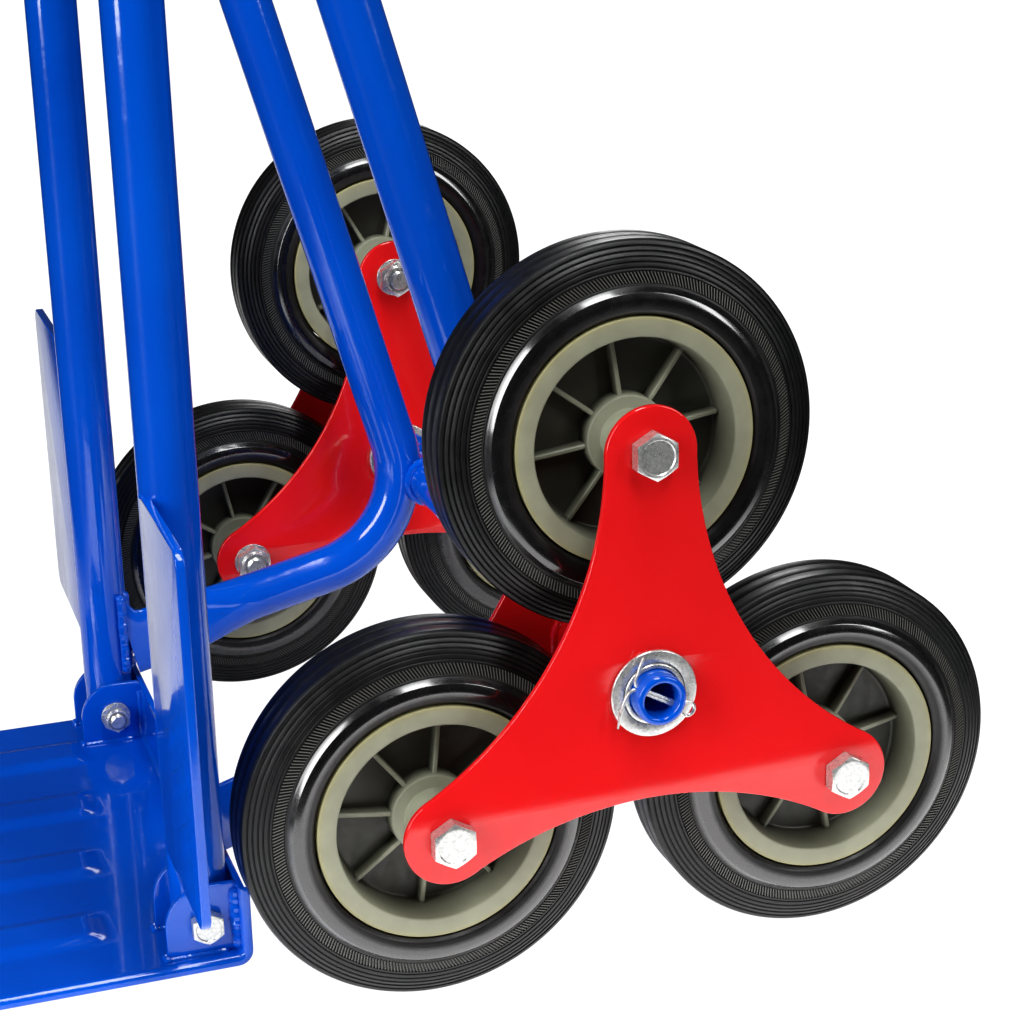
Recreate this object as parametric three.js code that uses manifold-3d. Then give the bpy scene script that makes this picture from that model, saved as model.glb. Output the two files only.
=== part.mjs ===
// Stair-climbing hand truck: a welded tube frame with a folding toe plate, carried on two
// three-wheeled clusters that turn freely on one axle. Millimetres, +Z up, +X to the truck's right,
// +Y to its rear. The origin is on the ground, at the middle of the truck's length and width.

import * as THREE from "three";
import * as BufferGeometryUtils from "three/addons/utils/BufferGeometryUtils.js";
import Module from "manifold-3d";

const wasm = await Module();
wasm.setup();

// ---------------------------------------------------------------- driving dimensions

const fitGap = 0.3;                  // gap kept between pieces that touch or are welded together

const wheelRadius = 80;
const boltCircleRadius = 100;        // axle to wheel bolt
const wheelCount = 3;                // wheels in a cluster
const clusterX = 181.8;              // middle plane of a cluster
const axleHeight = wheelRadius + boltCircleRadius / 2;

const frameTubeRadius = 12.4;
const frameTubeWall = 1.8;
const uprightX = 120.5;
const strutX = 108;
const uprightForward = 173;          // axle to uprights, along the ground
const handleHeight = 1100;

const toeReach = 204.1;                // hinge to the front edge of the toe plate
const toePlateHalfWidth = 144;
const sheet = 3;                     // thickness of the pressed and cut steel sheet
const hingeHeight = 19.3;
const toeTop = 5;                    // height of the toe plate's flat top
const flangeFront = frameTubeRadius + 1.2;   // hinge to the front of the toe plate's rear flange

const rearReach = boltCircleRadius * Math.cos(Math.PI / 6) + wheelRadius;
const frontReach = uprightForward + toeReach;
const axleY = (frontReach - rearReach) / 2;
const uprightY = axleY - uprightForward;

// ---------------------------------------------------------------- materials

const bluePaint = new THREE.MeshStandardMaterial({ color: 0x0048c4, roughness: 0.28, metalness: 0.0 });
const redPaint = new THREE.MeshStandardMaterial({ color: 0xe01b1e, roughness: 0.3, metalness: 0.0 });
const zinc = new THREE.MeshStandardMaterial({ color: 0xc9ccce, roughness: 0.35, metalness: 1.0 });
const tyreRubber = new THREE.MeshStandardMaterial({ color: 0x17181a, roughness: 0.5, metalness: 0.0 });
const hubPlastic = new THREE.MeshStandardMaterial({ color: 0x7f8170, roughness: 0.5, metalness: 0.0 });
const gripRubber = new THREE.MeshStandardMaterial({ color: 0x141414, roughness: 0.7, metalness: 0.0 });

// ---------------------------------------------------------------- solid helpers

function toSolid(geometry) {
  const bare = geometry.clone();
  bare.deleteAttribute("normal");
  bare.deleteAttribute("uv");
  const merged = BufferGeometryUtils.mergeVertices(bare, 1e-3);
  return new wasm.Manifold(new wasm.Mesh({
    numProp: 3,
    vertProperties: new Float32Array(merged.attributes.position.array),
    triVerts: new Uint32Array(merged.index.array),
  }));
}

function toGeometry(solid) {
  const mesh = solid.getMesh();
  const geometry = new THREE.BufferGeometry();
  geometry.setAttribute("position", new THREE.BufferAttribute(new Float32Array(mesh.vertProperties), 3));
  geometry.setIndex(new THREE.BufferAttribute(new Uint32Array(mesh.triVerts), 1));
  geometry.computeVertexNormals();
  return geometry;
}

function join(first, ...others) {
  return others.reduce((solid, other) => solid.add(toSolid(other)), toSolid(first));
}

function cut(solid, ...tools) {
  return tools.reduce((left, tool) => left.subtract(toSolid(tool)), solid);
}

// A cylinder or prism along X, from x0 to x1.
function barAlongX(radius, x0, x1, sides) {
  const bar = new THREE.CylinderGeometry(radius, radius, x1 - x0, sides);
  bar.rotateZ(-Math.PI / 2);
  bar.translate((x0 + x1) / 2, 0, 0);
  return bar;
}

function cylinderAlongZ(radius, z0, z1, sides) {
  const bar = new THREE.CylinderGeometry(radius, radius, z1 - z0, sides);
  bar.rotateX(Math.PI / 2);
  bar.translate(0, 0, (z0 + z1) / 2);
  return bar;
}

// A ring turned about the X axis. The profile is a list of [radius, x] that closes on itself.
function ringAboutX(profile, sides) {
  const points = profile.map(([radius, x]) => new THREE.Vector2(radius, x));
  points.push(points[0].clone());
  const ring = new THREE.LatheGeometry(points, sides);
  ring.rotateZ(-Math.PI / 2);
  return ring;
}

function tubeAboutX(outerRadius, innerRadius, x0, x1, sides) {
  return ringAboutX([[outerRadius, x0], [outerRadius, x1], [innerRadius, x1], [innerRadius, x0]], sides);
}

// A flat sheet in the YZ plane, between x0 and x0 + thickness.
function sheetAcrossX(shape, x0, thickness, curveSegments) {
  const plate = new THREE.ExtrudeGeometry(shape, { depth: thickness, bevelEnabled: false, curveSegments });
  plate.applyMatrix4(new THREE.Matrix4().makeBasis(
    new THREE.Vector3(0, 1, 0), new THREE.Vector3(0, 0, 1), new THREE.Vector3(1, 0, 0)));
  plate.translate(x0, 0, 0);
  return plate;
}

function box(x0, x1, y0, y1, z0, z1) {
  const block = new THREE.BoxGeometry(x1 - x0, y1 - y0, z1 - z0);
  block.translate((x0 + x1) / 2, (y0 + y1) / 2, (z0 + z1) / 2);
  return block;
}

// A path given by stations, so that straight runs need no points between their ends.
class StationPath extends THREE.Curve {
  constructor(stations) {
    super();
    this.stations = stations;
  }

  station(u) {
    return this.stations[Math.round(u * (this.stations.length - 1))];
  }

  getPointAt(u) {
    return this.station(u).point.clone();
  }

  getTangentAt(u) {
    return this.station(u).tangent.clone();
  }

  getPoint(t) {
    return this.getPointAt(t);
  }
}

// Corners joined by straight runs, each inner corner rounded to its bend radius.
function bentPath(corners, bendRadius, arcSteps) {
  const stations = [];
  const add = (point, tangent) => stations.push({ point, tangent });
  for (let i = 0; i < corners.length; i += 1) {
    const before = corners[i - 1];
    const after = corners[i + 1];
    const arriving = before ? corners[i].clone().sub(before).normalize() : null;
    const leaving = after ? after.clone().sub(corners[i]).normalize() : null;
    if (!arriving || !leaving) {
      add(corners[i].clone(), arriving ?? leaving);
      continue;
    }
    const turn = arriving.angleTo(leaving);
    const setback = bendRadius * Math.tan(turn / 2);
    const start = corners[i].clone().addScaledVector(arriving, -setback);
    const inward = leaving.clone().addScaledVector(arriving, -leaving.dot(arriving)).normalize();
    for (let step = 0; step <= arcSteps; step += 1) {
      const angle = turn * step / arcSteps;
      const point = start.clone()
        .addScaledVector(arriving, bendRadius * Math.sin(angle))
        .addScaledVector(inward, bendRadius * (1 - Math.cos(angle)));
      const tangent = arriving.clone().multiplyScalar(Math.cos(angle))
        .addScaledVector(inward, Math.sin(angle));
      add(point, tangent);
    }
  }
  return new StationPath(stations);
}

function circle(radius, sides) {
  const points = [];
  for (let i = 0; i < sides; i += 1) {
    const angle = 2 * Math.PI * i / sides;
    points.push(new THREE.Vector2(radius * Math.cos(angle), radius * Math.sin(angle)));
  }
  return points;
}

function tubeAlong(path, outerRadius, innerRadius, sides) {
  const section = new THREE.Shape(circle(outerRadius, sides));
  if (innerRadius > 0) section.holes.push(new THREE.Path(circle(innerRadius, sides)));
  const steps = path.stations.length - 1;
  return new THREE.ExtrudeGeometry(section, { steps, bevelEnabled: false, extrudePath: path });
}

// A hexagonal prism along X.
function hexAlongX(acrossFlats, x0, x1) {
  return barAlongX(acrossFlats / Math.sqrt(3), x0, x1, 6);
}

// ---------------------------------------------------------------- assembly helpers

const truck = new THREE.Group();

function piece(name, geometry, material, parent = truck) {
  const mesh = new THREE.Mesh(geometry, material);
  mesh.name = name;
  parent.add(mesh);
  return mesh;
}

const sides = [{ name: "right", sign: 1 }, { name: "left", sign: -1 }];

// Turns a geometry made for the right side into its left-hand mirror image.
function forSide(solid, sign) {
  return toGeometry(sign > 0 ? solid : solid.mirror([1, 0, 0]));
}

// ---------------------------------------------------------------- uprights, handles and grips

const footBottom = hingeHeight - 5;
const handleBendRadius = 80;
const handleTilt = THREE.MathUtils.degToRad(60);      // from vertical, towards the rear
const handleRun = 150;                                // straight run after the bend
const hingeBoltRadius = 4;
const tubeSides = 12;
const gripLength = 118;
const gripRadius = 16.5;
const gripWall = 3.7;
const gripFlangeRadius = 21;
const gripBore = frameTubeRadius + 0.4;

const handleDirection = new THREE.Vector3(0, Math.sin(handleTilt), Math.cos(handleTilt));
const handleSetback = handleBendRadius * Math.tan(handleTilt / 2);
const handleTop = gripRadius * Math.sin(handleTilt) + gripWall * Math.cos(handleTilt);
const handleCornerHeight = handleHeight - handleTop - (handleSetback + handleRun) * Math.cos(handleTilt);
const handleCorner = new THREE.Vector3(uprightX, uprightY, handleCornerHeight);
const handleEnd = handleCorner.clone().addScaledVector(handleDirection, handleSetback + handleRun);

function uprightSolid() {
  const foot = new THREE.Vector3(uprightX, uprightY, footBottom);
  const path = bentPath([foot, handleCorner, handleEnd], handleBendRadius, 6);
  const tube = toSolid(tubeAlong(path, frameTubeRadius, frameTubeRadius - frameTubeWall, tubeSides));
  const hingeHole = barAlongX(hingeBoltRadius + fitGap, uprightX - 20, uprightX + 20, 12);
  hingeHole.translate(0, uprightY, hingeHeight);
  return cut(tube, hingeHole);
}

function gripSolid() {
  const profile = [
    [0, gripWall], [gripRadius - 3, gripWall], [gripRadius - 0.5, 1],
    [gripRadius - 0.5, -gripLength + 8],
    [gripFlangeRadius, -gripLength + 5], [gripFlangeRadius, -gripLength],
    [gripBore, -gripLength], [gripBore, fitGap], [0, fitGap],
  ];
  const grip = new THREE.LatheGeometry(profile.map(([r, y]) => new THREE.Vector2(r, y)).reverse(), 12);
  const upwards = new THREE.Vector3(0, 1, 0);
  grip.applyQuaternion(new THREE.Quaternion().setFromUnitVectors(upwards, handleDirection));
  grip.translate(handleEnd.x, handleEnd.y, handleEnd.z);
  return toSolid(grip);
}

// ---------------------------------------------------------------- rear struts

const strutLean = 0.282;                // forward travel of the strut for each unit of height
const strutBendRadius = 54;
const strutCorner = new THREE.Vector3(strutX, axleY + 0.3, 96.1);
const strutTopHeight = 664;
const strutFootEnd = 132;               // where the round part of the lower leg ends, ahead of the axle
const flatHalfThickness = 2.6;          // the pressed-flat end of the lower leg
// The two feet were welded at different heights. Fall is for each unit forward.
const strutFeet = {
  right: { fall: 0.3, flatTop: 74, flatBottom: 38.5 },
  left: { fall: 0.2297, flatTop: 86, flatBottom: 46.5 },
};

const axleRadius = 10.65;
const axleBore = 7.75;

function strutSolid({ fall, flatTop, flatBottom }) {
  const top = new THREE.Vector3(
    strutX, strutCorner.y - strutLean * (strutTopHeight - strutCorner.z), strutTopHeight);
  const footForward = strutFootEnd + strutCorner.y - axleY;
  const foot = new THREE.Vector3(strutX, axleY - strutFootEnd, strutCorner.z - fall * footForward);
  const path = bentPath([top, strutCorner, foot], strutBendRadius, 8);
  const tube = toSolid(tubeAlong(path, frameTubeRadius, frameTubeRadius - frameTubeWall, tubeSides));
  const behindUpright = uprightY + frameTubeRadius + fitGap;
  const flat = new THREE.Shape([
    new THREE.Vector2(foot.y + 14, foot.z + frameTubeRadius + 1),
    new THREE.Vector2(foot.y - 12, foot.z + frameTubeRadius + 1),
    new THREE.Vector2(behindUpright, flatTop),
    new THREE.Vector2(behindUpright, flatBottom),
    new THREE.Vector2(foot.y - 8, foot.z - frameTubeRadius - 3),
    new THREE.Vector2(foot.y + 14, foot.z - frameTubeRadius + 4),
  ].reverse());
  const flatEnd = sheetAcrossX(flat, strutX - flatHalfThickness + 2.5, 2 * flatHalfThickness, 1);
  const upright = cylinderAlongZ(frameTubeRadius + fitGap, 0, handleCornerHeight, 24);
  upright.translate(uprightX, uprightY, 0);
  const axle = barAlongX(axleRadius + fitGap, strutX - 20, strutX + 20, 20);
  axle.translate(0, axleY, axleHeight);
  return cut(tube.add(toSolid(flatEnd)), upright, axle);
}

// ---------------------------------------------------------------- cross bars

const crossBarRadius = 9.5;
const crossBarWall = 1.5;
const crossBarBow = 22;                 // how far the middle sits behind the uprights
const crossBars = [
  { name: "lower_cross_bar", height: 480 },
  { name: "middle_cross_bar", height: 700 },
  { name: "upper_cross_bar", height: 900 },
];

function crossBarSolid(height) {
  const arcRadius = (uprightX * uprightX + crossBarBow * crossBarBow) / (2 * crossBarBow);
  const halfAngle = Math.asin(uprightX / arcRadius);
  const stations = [];
  const arcSteps = 4;
  for (let step = 0; step <= arcSteps; step += 1) {
    const angle = halfAngle * (2 * step / arcSteps - 1);
    const bow = crossBarBow - arcRadius * (1 - Math.cos(angle));
    stations.push({
      point: new THREE.Vector3(arcRadius * Math.sin(angle), uprightY + bow, height),
      tangent: new THREE.Vector3(Math.cos(angle), -Math.sin(angle), 0),
    });
  }
  const path = new StationPath(stations);
  const bar = toSolid(tubeAlong(path, crossBarRadius, crossBarRadius - crossBarWall, 8));
  const uprights = sides.map(({ sign }) => {
    const room = box(uprightX, uprightX + 40, uprightY - 40, uprightY + 40, height - 40, height + 40);
    const tube = cylinderAlongZ(frameTubeRadius + fitGap, height - 40, height + 40, 24);
    tube.translate(uprightX, uprightY, 0);
    const tool = join(room, tube);
    return sign > 0 ? tool : tool.mirror([1, 0, 0]);
  });
  return bar.subtract(uprights[0]).subtract(uprights[1]);
}

// ---------------------------------------------------------------- guard blades

const bladeThickness = 4;
const bladeLength = 156;
const bladeOuterX = 201;
const bladeInnerX = uprightX + 3;       // the blade is coped to the front of the round tube
const bladeCornerCut = 5;
const bladeFrontY = uprightY - frameTubeRadius;
const bladeBottoms = { right: 49, left: 64 };

function bladeSolid(bottom) {
  const top = bottom + bladeLength;
  const outline = new THREE.Shape([
    new THREE.Vector2(bladeInnerX, bottom),
    new THREE.Vector2(bladeOuterX - bladeCornerCut, bottom),
    new THREE.Vector2(bladeOuterX, bottom + bladeCornerCut),
    new THREE.Vector2(bladeOuterX, top - bladeCornerCut),
    new THREE.Vector2(bladeOuterX - bladeCornerCut, top),
    new THREE.Vector2(bladeInnerX, top),
  ]);
  const blade = new THREE.ExtrudeGeometry(outline, { depth: bladeThickness, bevelEnabled: false });
  blade.rotateX(Math.PI / 2);
  blade.translate(0, bladeFrontY + bladeThickness, 0);
  const upright = cylinderAlongZ(frameTubeRadius + fitGap, bottom - 1, top + 1, 28);
  upright.translate(uprightX, uprightY, 0);
  return cut(toSolid(blade), upright);
}

// ---------------------------------------------------------------- axle, washers and split pins

const axleEndX = 227;
const collarOuterX = 143.2;             // the welded collar that stops the cluster from moving inwards
const collarLength = 4;
const collarRadius = 15;
const pinX = 221.9;
const pinRadius = 1.6;
const pinTilt = THREE.MathUtils.degToRad(20);   // slope of the pin across the axle
const axleSides = 16;

function axleSolid() {
  const half = [
    [axleRadius, collarOuterX - collarLength], [collarRadius, collarOuterX - collarLength],
    [collarRadius, collarOuterX], [axleRadius, collarOuterX], [axleRadius, axleEndX],
  ];
  const mirrored = half.map(([radius, x]) => [radius, -x]).reverse();
  const bar = ringAboutX([...mirrored, ...half, [axleBore, axleEndX], [axleBore, -axleEndX]], axleSides);
  const holes = sides.map(({ sign }) => {
    const hole = new THREE.CylinderGeometry(pinRadius + fitGap, pinRadius + fitGap, 40, 8);
    hole.rotateX(-pinTilt);
    hole.translate(sign * pinX, 0, 0);
    return hole;
  });
  const drilled = cut(toSolid(bar), ...holes);
  return drilled.translate([0, axleY, axleHeight]);
}

// The pin runs across the axle: an eye at its lower rear end and two legs bent apart at the other.
function splitPinSolid() {
  const legs = [0.9, -0.75].map((spread) => {
    const bendStart = new THREE.Vector3(pinX, -axleRadius - 1.2, 0);
    const corners = [
      new THREE.Vector3(pinX, axleRadius + 3.4, 0),
      bendStart,
      bendStart.clone().add(new THREE.Vector3(0, -4.2 * Math.cos(spread), 10 * Math.sin(spread))),
    ];
    return tubeAlong(bentPath(corners, 1.5, 2), 0.85 * pinRadius, 0, 6);
  });
  const eye = new THREE.TorusGeometry(3, 1.2, 5, 8);
  eye.rotateY(Math.PI / 2);
  eye.translate(pinX, axleRadius + 5.6, 0);
  const pin = join(legs[0], legs[1], eye);
  return pin.rotate([-THREE.MathUtils.radToDeg(pinTilt), 0, 0]).translate([0, axleY, axleHeight]);
}

// ---------------------------------------------------------------- wheel clusters

const plateGap = 31.8;                  // cluster middle plane to the inside of each star plate
const plateTipRadius = 19.3;
const plateWaist = 46.5;                // axle to the middle of a concave side
const plateArcCentre = 204;             // axle to the centre of a concave side's arc
const sleeveRadius = 18;
const bushRadius = 13;
const bushFlangeRadius = 18.5;
const bushBore = axleRadius + 0.3;
const washerRadius = 18.5;
const washerThickness = 1.5;
const wheelBoltRadius = 5;
const wheelBoltFlats = 17;
const wheelBoltHead = 6.4;
const wheelNutLength = 9.5;
const spacerRadius = 7;
const spacerBore = wheelBoltRadius + 0.5;

const outerPlateX = clusterX + plateGap;
const innerPlateX = clusterX - plateGap - sheet;

function pointAtAngle(angle, radius) {
  return new THREE.Vector2(radius * Math.cos(angle), radius * Math.sin(angle));
}

function starPlate(x0, centreHole) {
  const arcRadius = plateArcCentre - plateWaist;
  const shape = new THREE.Shape();
  for (let arm = 0; arm < wheelCount; arm += 1) {
    const armAngle = Math.PI / 2 + 2 * Math.PI * arm / wheelCount;
    const sideAngle = armAngle + Math.PI / wheelCount;
    const tip = pointAtAngle(armAngle, boltCircleRadius);
    const hollow = pointAtAngle(sideAngle, plateArcCentre);
    const tipToHollow = hollow.clone().sub(tip).angle();
    const tipHalfSweep = tipToHollow - armAngle;
    shape.absarc(tip.x, tip.y, plateTipRadius, armAngle - tipHalfSweep, armAngle + tipHalfSweep, false);
    const hollowToTip = tipToHollow + Math.PI;
    const hollowHalfSweep = sideAngle + Math.PI - hollowToTip;
    shape.absarc(hollow.x, hollow.y, arcRadius, hollowToTip, hollowToTip + 2 * hollowHalfSweep, true);
    shape.holes.push(new THREE.Path(circle(wheelBoltRadius + fitGap, 10).map((p) => p.add(tip))));
  }
  shape.holes.push(new THREE.Path(circle(centreHole, axleSides)));
  return sheetAcrossX(shape, x0, sheet, 4);
}

function bushSolid() {
  const x0 = collarOuterX + fitGap;
  const x1 = innerPlateX - fitGap;
  const x2 = outerPlateX + sheet + washerThickness + 0.8;
  return toSolid(ringAboutX([
    [bushFlangeRadius, x0], [bushFlangeRadius, x1], [bushRadius, x1], [bushRadius, x2], [bushBore, x2],
    [bushBore, x0],
  ], axleSides));
}

// ---------------------------------------------------------------- wheels

const rimRadius = 50.7;
const rimHalfWidth = 18.5;
const rimInner = 42.4;
const webHalfThickness = 1.5;
const bossRadius = 17.5;
const bossHalfWidth = 9.7;
const noseRadius = 11.5;
const noseHalfWidth = plateGap - 0.6;
const ribCount = 8;
const ribHalfThickness = 1.1;
const ribHalfWidth = 7.5;

function mirroredProfile(half) {
  return [...half.map(([radius, x]) => [radius, -x]).reverse(), ...half];
}

function tyreSolid() {
  const outside = mirroredProfile([
    [wheelRadius, 10.5], [73, 13.8], [62.8, 16.3], [57.5, 19.8], [rimRadius + 2 * fitGap, 18.2],
  ]);
  return toSolid(ringAboutX(outside, 24));
}

function hubSolid() {
  const profile = mirroredProfile([
    [rimRadius, rimHalfWidth], [rimInner, rimHalfWidth], [rimInner - 1.6, webHalfThickness],
    [bossRadius, webHalfThickness], [bossRadius, bossHalfWidth], [noseRadius, bossHalfWidth],
    [noseRadius, noseHalfWidth], [spacerRadius + fitGap, noseHalfWidth],
  ]);
  const hub = ringAboutX(profile, 2 * ribCount);
  const ribs = [];
  for (let i = 0; i < ribCount; i += 1) {
    const rib = box(-ribHalfWidth, ribHalfWidth, bossRadius - 2, rimInner + 1,
      -ribHalfThickness, ribHalfThickness);
    rib.rotateX(2 * Math.PI * (i + 0.5) / ribCount);
    ribs.push(rib);
  }
  return join(hub, ...ribs);
}

// ---------------------------------------------------------------- bolts and nuts

// A hexagon bolt along X, its head beyond x1 and its thread end at x0.
function boltSolid(radius, flats, headHeight, x0, x1) {
  return join(hexAlongX(flats, x1, x1 + headHeight), barAlongX(radius, x0, x1 + 1, 10));
}

// A locking nut along X: a hexagon with a round collar on its thread-end side.
function nutSolid(radius, flats, x0, x1) {
  const collar = 0.32 * (x1 - x0);
  const body = join(hexAlongX(flats, x0 + collar, x1), barAlongX(0.46 * flats, x0, x0 + collar + 1, 8));
  return cut(body, barAlongX(radius + fitGap, x0 - 1, x1 + 1, 10));
}

// ---------------------------------------------------------------- toe plate

const earRadius = 17.5;
const earInnerX = uprightX - frameTubeRadius - 0.7 - sheet;
const earOuterX = uprightX + frameTubeRadius + 0.7;
const ribPitch = 64;                    // spacing of the four pressed ribs
const toeRibHalfWidth = 15;
const toeRibHeight = 2.6;
const toeRibBack = uprightY - 27;
const toeFrontY = axleY - frontReach;
const toeRibFront = toeFrontY + 16;
const toeRibRunout = 10;
const flangeTop = hingeHeight + earRadius - 0.6;
const lipSetback = 3;                   // the side lips stop short of the front edge and of the hinge
const edgeRound = 1.2;

// A pressed rib: a flat-topped ridge with sloping sides and ends.
function toeRib(x, z) {
  const length = toeRibBack - toeRibFront;
  const ridge = new THREE.BoxGeometry(2 * toeRibHalfWidth, length, toeRibHeight + 1);
  const corners = ridge.attributes.position;
  for (let i = 0; i < corners.count; i += 1) {
    if (corners.getZ(i) > 0) {
      corners.setX(i, corners.getX(i) * 0.45);
      corners.setY(i, Math.sign(corners.getY(i)) * (length / 2 - toeRibRunout));
    }
  }
  ridge.translate(x, (toeRibBack + toeRibFront) / 2, z + (toeRibHeight - 1) / 2);
  return ridge;
}

// The toe plate's section along its depth: a flat floor and an upturned rear flange.
function toeProfile() {
  const back = uprightY + flangeFront + sheet;
  const bend = 5;
  const underside = toeTop - sheet;
  const shape = new THREE.Shape();
  shape.moveTo(toeFrontY, underside);
  shape.lineTo(back - bend, underside);
  shape.absarc(back - bend, underside + bend, bend, -Math.PI / 2, 0, false);
  shape.lineTo(back, flangeTop);
  shape.lineTo(back - sheet, flangeTop);
  shape.lineTo(back - sheet, underside + bend);
  shape.absarc(back - bend, underside + bend, bend - sheet, 0, -Math.PI / 2, true);
  shape.lineTo(toeFrontY, toeTop);
  shape.closePath();
  return shape;
}

// An ear stands on the toe plate and carries the hinge bolt beside the foot of an upright.
function toeEar(x0) {
  const back = uprightY + flangeFront + 1;
  const base = toeTop - 1;
  const shape = new THREE.Shape();
  shape.moveTo(uprightY - earRadius, base);
  shape.lineTo(back, base);
  shape.lineTo(back, hingeHeight + earRadius);
  shape.lineTo(uprightY, hingeHeight + earRadius);
  shape.absarc(uprightY, hingeHeight, earRadius, Math.PI / 2, Math.PI, false);
  shape.closePath();
  const hinge = new THREE.Vector2(uprightY, hingeHeight);
  const boltHole = circle(hingeBoltRadius + fitGap, 12).map((point) => point.add(hinge));
  shape.holes.push(new THREE.Path(boltHole));
  return sheetAcrossX(shape, x0, sheet, 4);
}

function toePlateSolid() {
  const floorHalfWidth = toePlateHalfWidth - edgeRound;
  const floor = sheetAcrossX(toeProfile(), -floorHalfWidth, 2 * floorHalfWidth, 3);
  const ribXs = [-1.5, -0.5, 0.5, 1.5].map((step) => step * ribPitch);
  const lips = [-toePlateHalfWidth, toePlateHalfWidth - sheet]
    .map((x) => box(x, x + sheet, toeFrontY + lipSetback, uprightY - lipSetback, 0, toeTop - edgeRound));
  const ears = sides.flatMap(({ sign }) => [earInnerX, earOuterX]
    .map((x) => toeEar(sign > 0 ? x : -x - sheet)));
  const plate = join(floor, ...ribXs.map((x) => toeRib(x, toeTop)), ...lips, ...ears);
  return cut(plate, ...ribXs.map((x) => toeRib(x, toeTop - sheet)));
}

// ---------------------------------------------------------------- the truck, put together

const hingeBoltFlats = 13;
const hingeHeadHeight = 5.3;
const hingeNutLength = 8;

for (const { name, sign } of sides) {
  piece(`${name}_upright`, forSide(uprightSolid(), sign), bluePaint);
  piece(`${name}_rear_strut`, forSide(strutSolid(strutFeet[name]), sign), bluePaint);
  piece(`${name}_guard_blade`, forSide(bladeSolid(bladeBottoms[name]), sign), bluePaint);
  piece(`${name}_hand_grip`, forSide(gripSolid(), sign), gripRubber);

  const headX = earOuterX + sheet + fitGap;
  const nutX = earInnerX - fitGap;
  const threadEndX = nutX - hingeNutLength - 2;
  const hingeBolt = boltSolid(hingeBoltRadius, hingeBoltFlats, hingeHeadHeight, threadEndX, headX)
    .translate([0, uprightY, hingeHeight]);
  const hingeNut = nutSolid(hingeBoltRadius, hingeBoltFlats, nutX - hingeNutLength, nutX)
    .translate([0, uprightY, hingeHeight]);
  piece(`${name}_hinge_bolt`, forSide(hingeBolt, sign), zinc);
  piece(`${name}_hinge_nut`, forSide(hingeNut, sign), zinc);

  piece(`${name}_split_pin`, forSide(splitPinSolid(), sign), zinc);
  const washerX = outerPlateX + sheet + fitGap;
  const washer = toSolid(tubeAboutX(
    washerRadius, bushRadius + fitGap, washerX, washerX + washerThickness, axleSides))
    .translate([0, axleY, axleHeight]);
  piece(`${name}_axle_washer`, forSide(washer, sign), zinc);
}
for (const { name, height } of crossBars) {
  piece(name, toGeometry(crossBarSolid(height)), bluePaint);
}
piece("axle", toGeometry(axleSolid()), bluePaint);
piece("toe_plate", toGeometry(toePlateSolid()), bluePaint);

const wheelNames = ["top", "front", "rear"];      // by the place where each wheel stands at rest

for (const { name, sign } of sides) {
  const cluster = new THREE.Group();
  cluster.position.set(0, axleY, axleHeight);
  truck.add(cluster);
  const plateHole = bushRadius + fitGap;
  const outerPlate = toSolid(starPlate(outerPlateX, plateHole));
  const innerPlate = toSolid(starPlate(innerPlateX, plateHole));
  piece(`${name}_outer_star_plate`, forSide(outerPlate, sign), redPaint, cluster);
  piece(`${name}_inner_star_plate`, forSide(innerPlate, sign), redPaint, cluster);
  const sleeve = tubeAboutX(
    sleeveRadius, plateHole, innerPlateX + sheet + fitGap, outerPlateX - fitGap, axleSides);
  piece(`${name}_centre_sleeve`, forSide(toSolid(sleeve), sign), redPaint, cluster);
  piece(`${name}_axle_bush`, forSide(bushSolid(), sign), zinc, cluster);

  const nutEnd = innerPlateX - fitGap;
  const headStart = outerPlateX + sheet + fitGap;
  wheelNames.forEach((place, index) => {
    const arm = Math.PI / 2 + index * 2 * Math.PI / wheelCount;
    const station = new THREE.Group();
    station.position.set(0, boltCircleRadius * Math.cos(arm), boltCircleRadius * Math.sin(arm));
    cluster.add(station);
    const tyre = piece(`${name}_${place}_tyre`, toGeometry(tyreSolid()), tyreRubber, station);
    const hub = piece(`${name}_${place}_hub`, toGeometry(hubSolid()), hubPlastic, station);
    tyre.position.x = sign * clusterX;
    hub.position.x = sign * clusterX;
    const spacer = tubeAboutX(
      spacerRadius, spacerBore, innerPlateX + sheet + fitGap, outerPlateX - fitGap, 8);
    piece(`${name}_${place}_spacer_tube`, forSide(toSolid(spacer), sign), zinc, station);
    const bolt = boltSolid(
      wheelBoltRadius, wheelBoltFlats, wheelBoltHead, nutEnd - wheelNutLength - 2, headStart);
    piece(`${name}_${place}_wheel_bolt`, forSide(bolt, sign), zinc, station);
    const nut = nutSolid(wheelBoltRadius, wheelBoltFlats, nutEnd - wheelNutLength, nutEnd);
    piece(`${name}_${place}_wheel_nut`, forSide(nut, sign), zinc, station);
  });
}

export default truck;
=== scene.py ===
import math
import random

import bmesh
import bpy
from mathutils import Matrix, Vector
from mathutils.geometry import tessellate_polygon


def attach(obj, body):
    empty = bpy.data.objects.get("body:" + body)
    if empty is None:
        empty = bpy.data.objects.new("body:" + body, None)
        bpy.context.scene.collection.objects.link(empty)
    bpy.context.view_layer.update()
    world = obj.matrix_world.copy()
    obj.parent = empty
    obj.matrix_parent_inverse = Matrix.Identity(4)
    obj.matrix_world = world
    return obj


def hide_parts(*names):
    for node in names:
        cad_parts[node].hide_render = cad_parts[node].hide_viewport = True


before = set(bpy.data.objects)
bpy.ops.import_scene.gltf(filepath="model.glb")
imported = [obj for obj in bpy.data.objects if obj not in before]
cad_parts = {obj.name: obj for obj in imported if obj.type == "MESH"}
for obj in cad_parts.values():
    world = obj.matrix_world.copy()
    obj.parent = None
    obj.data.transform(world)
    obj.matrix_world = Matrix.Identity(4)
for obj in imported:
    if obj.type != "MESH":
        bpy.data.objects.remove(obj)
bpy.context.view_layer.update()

# ----------------- dimensions, in millimetres

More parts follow.
